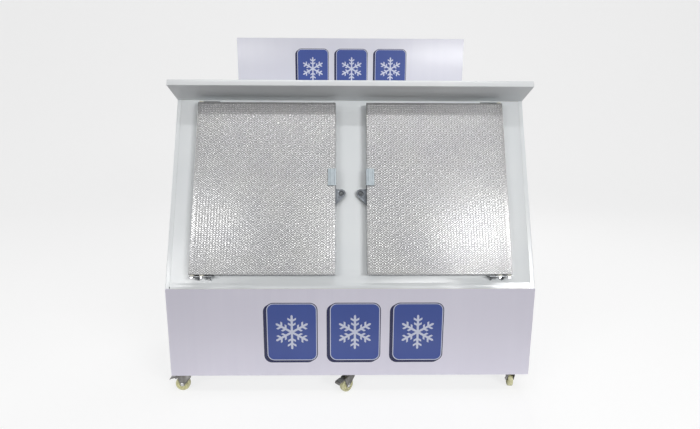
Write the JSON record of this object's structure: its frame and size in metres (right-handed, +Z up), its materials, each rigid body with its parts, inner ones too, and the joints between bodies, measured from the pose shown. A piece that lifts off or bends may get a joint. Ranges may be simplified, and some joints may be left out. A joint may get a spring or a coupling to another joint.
{
  "type": "ice merchandiser freezer",
  "caption": "Slant-front ice freezer with hinged metal doors on pivot hinges, padlock hasps, a visor, a roof sign, a rear refrigeration bay in its base, and braked swivel casters.",
  "frame": {"origin": "on the floor, under the middle of the width and of the depth", "axes": "+Z up, front faces -Y, +X to the right seen from the front"},
  "size_m": [1.8735, 1.0052, 1.826],
  "materials": {
    "white_paint": "white powder coat",
    "base_paint": "satin film over paint",
    "sign_white": "satin white paint",
    "galvanised": "galvanised",
    "stucco_aluminium": "stucco embossed",
    "liner_white": "satin",
    "foam": "foamed-in insulation",
    "gasket": "matt",
    "zinc_plate": "zinc plated",
    "nylon": "moulded nylon",
    "black_enamel": "black enamel",
    "coil_aluminium": "mill finish",
    "fan_plastic": "moulded",
    "gland_plastic": "moulded",
    "box_paint": "moulded case"
  },
  "bodies": {
    "cabinet": {"front_rail": "galvanised", "rear_rail": "galvanised", "left_rail": "galvanised", "right_rail": "galvanised", "bottom_pan": "galvanised", "rear_grille": "galvanised", "sign_bracket_left": "galvanised", "sign_bracket_right": "galvanised", "fan_shroud": "galvanised", "left_side_panel": "white_paint", "right_side_panel": "white_paint", "back_panel": "white_paint", "front_frame": "white_paint", "roof_hood": "white_paint", "base_front_panel": "base_paint", "sign_panel": "sign_white", "insulation": "foam", "inner_liner": "liner_white", "evaporator_plate": "coil_aluminium", "condenser": "coil_aluminium", "compressor": "black_enamel", "control_box": "box_paint", "cable_gland": "gland_plastic", "left_lower_pivot": "zinc_plate", "left_upper_pivot": "zinc_plate", "right_lower_pivot": "zinc_plate", "right_upper_pivot": "zinc_plate", "caster_front_left_plate": "zinc_plate", "caster_front_centre_plate": "zinc_plate", "caster_front_right_plate": "zinc_plate", "caster_rear_left_plate": "zinc_plate", "caster_rear_centre_plate": "zinc_plate", "caster_rear_right_plate": "zinc_plate"},
    "left_door": {"left_door_skin": "stucco_aluminium", "left_door_foam": "foam", "left_door_liner": "liner_white", "left_door_gasket": "gasket", "left_door_hasp": "zinc_plate"},
    "right_door": {"right_door_skin": "stucco_aluminium", "right_door_foam": "foam", "right_door_liner": "liner_white", "right_door_gasket": "gasket", "right_door_hasp": "zinc_plate"},
    "fan": {"fan_blade": "fan_plastic"},
    "swivel_front_left": {"caster_front_left_fork": "zinc_plate"},
    "wheel_front_left": {"caster_front_left_wheel": "nylon"},
    "pedal_front_left": {"caster_front_left_pedal": "zinc_plate"},
    "swivel_front_centre": {"caster_front_centre_fork": "zinc_plate"},
    "wheel_front_centre": {"caster_front_centre_wheel": "nylon"},
    "pedal_front_centre": {"caster_front_centre_pedal": "zinc_plate"},
    "swivel_front_right": {"caster_front_right_fork": "zinc_plate"},
    "wheel_front_right": {"caster_front_right_wheel": "nylon"},
    "pedal_front_right": {"caster_front_right_pedal": "zinc_plate"},
    "swivel_rear_left": {"caster_rear_left_fork": "zinc_plate"},
    "wheel_rear_left": {"caster_rear_left_wheel": "nylon"},
    "swivel_rear_centre": {"caster_rear_centre_fork": "zinc_plate"},
    "wheel_rear_centre": {"caster_rear_centre_wheel": "nylon"},
    "swivel_rear_right": {"caster_rear_right_fork": "zinc_plate"},
    "wheel_rear_right": {"caster_rear_right_wheel": "nylon"}
  },
  "joints": [
    {"name": "left_door_hinge", "type": "hinge", "parent": "cabinet", "child": "left_door", "pos_m": [-0.785, -0.305, 1.06842], "axis": [0, -0.3896, -0.921], "range_deg": [0, 110]},
    {"name": "right_door_hinge", "type": "hinge", "parent": "cabinet", "child": "right_door", "pos_m": [0.785, -0.305, 1.06842], "axis": [0, 0.3896, 0.921], "range_deg": [0, 110]},
    {"name": "fan_spin", "type": "hinge", "parent": "cabinet", "child": "fan", "pos_m": [0.3, 0.3971, 0.2825], "axis": [0, 1, 0], "continuous": true},
    {"name": "swivel_front_left_turn", "type": "hinge", "parent": "cabinet", "child": "swivel_front_left", "pos_m": [-0.853, -0.4248, 0.0897], "axis": [0, 0, 1], "continuous": true},
    {"name": "wheel_front_left_spin", "type": "hinge", "parent": "swivel_front_left", "child": "wheel_front_left", "pos_m": [-0.883, -0.4248, 0.0375], "axis": [0, -1, 0], "continuous": true},
    {"name": "pedal_front_left_press", "type": "hinge", "parent": "swivel_front_left", "child": "pedal_front_left", "pos_m": [-0.901, -0.4248, 0.078], "axis": [0, -1, 0], "range_deg": [0, 13]},
    {"name": "swivel_front_centre_turn", "type": "hinge", "parent": "cabinet", "child": "swivel_front_centre", "pos_m": [0, -0.4248, 0.0897], "axis": [0, 0, 1], "continuous": true},
    {"name": "wheel_front_centre_spin", "type": "hinge", "parent": "swivel_front_centre", "child": "wheel_front_centre", "pos_m": [-0.02229, -0.44488, 0.0375], "axis": [0.6691, -0.7431, 0], "continuous": true},
    {"name": "pedal_front_centre_press", "type": "hinge", "parent": "swivel_front_centre", "child": "pedal_front_centre", "pos_m": [-0.03567, -0.45692, 0.078], "axis": [0.6691, -0.7431, 0], "range_deg": [0, 13]},
    {"name": "swivel_front_right_turn", "type": "hinge", "parent": "cabinet", "child": "swivel_front_right", "pos_m": [0.853, -0.4248, 0.0897], "axis": [0, 0, 1], "continuous": true},
    {"name": "wheel_front_right_spin", "type": "hinge", "parent": "swivel_front_right", "child": "wheel_front_right", "pos_m": [0.85718, -0.3951, 0.0375], "axis": [-0.9903, 0.1392, 0], "continuous": true},
    {"name": "pedal_front_right_press", "type": "hinge", "parent": "swivel_front_right", "child": "pedal_front_right", "pos_m": [0.85968, -0.37727, 0.078], "axis": [-0.9903, 0.1392, 0], "range_deg": [0, 13]},
    {"name": "swivel_rear_left_turn", "type": "hinge", "parent": "cabinet", "child": "swivel_rear_left", "pos_m": [-0.853, 0.4466, 0.0897], "axis": [0, 0, 1], "continuous": true},
    {"name": "wheel_rear_left_spin", "type": "hinge", "parent": "swivel_rear_left", "child": "wheel_rear_left", "pos_m": [-0.88184, 0.43833, 0.0375], "axis": [0.2756, -0.9613, 0], "continuous": true},
    {"name": "swivel_rear_centre_turn", "type": "hinge", "parent": "cabinet", "child": "swivel_rear_centre", "pos_m": [0, 0.4466, 0.0897], "axis": [0, 0, 1], "continuous": true},
    {"name": "wheel_rear_centre_spin", "type": "hinge", "parent": "swivel_rear_centre", "child": "wheel_rear_centre", "pos_m": [0.02229, 0.42652, 0.0375], "axis": [0.6691, 0.7431, 0], "continuous": true},
    {"name": "swivel_rear_right_turn", "type": "hinge", "parent": "cabinet", "child": "swivel_rear_right", "pos_m": [0.853, 0.4466, 0.0897], "axis": [0, 0, 1], "continuous": true},
    {"name": "wheel_rear_right_spin", "type": "hinge", "parent": "swivel_rear_right", "child": "wheel_rear_right", "pos_m": [0.83453, 0.42295, 0.0375], "axis": [0.788, -0.6157, 0], "continuous": true}
  ]
}
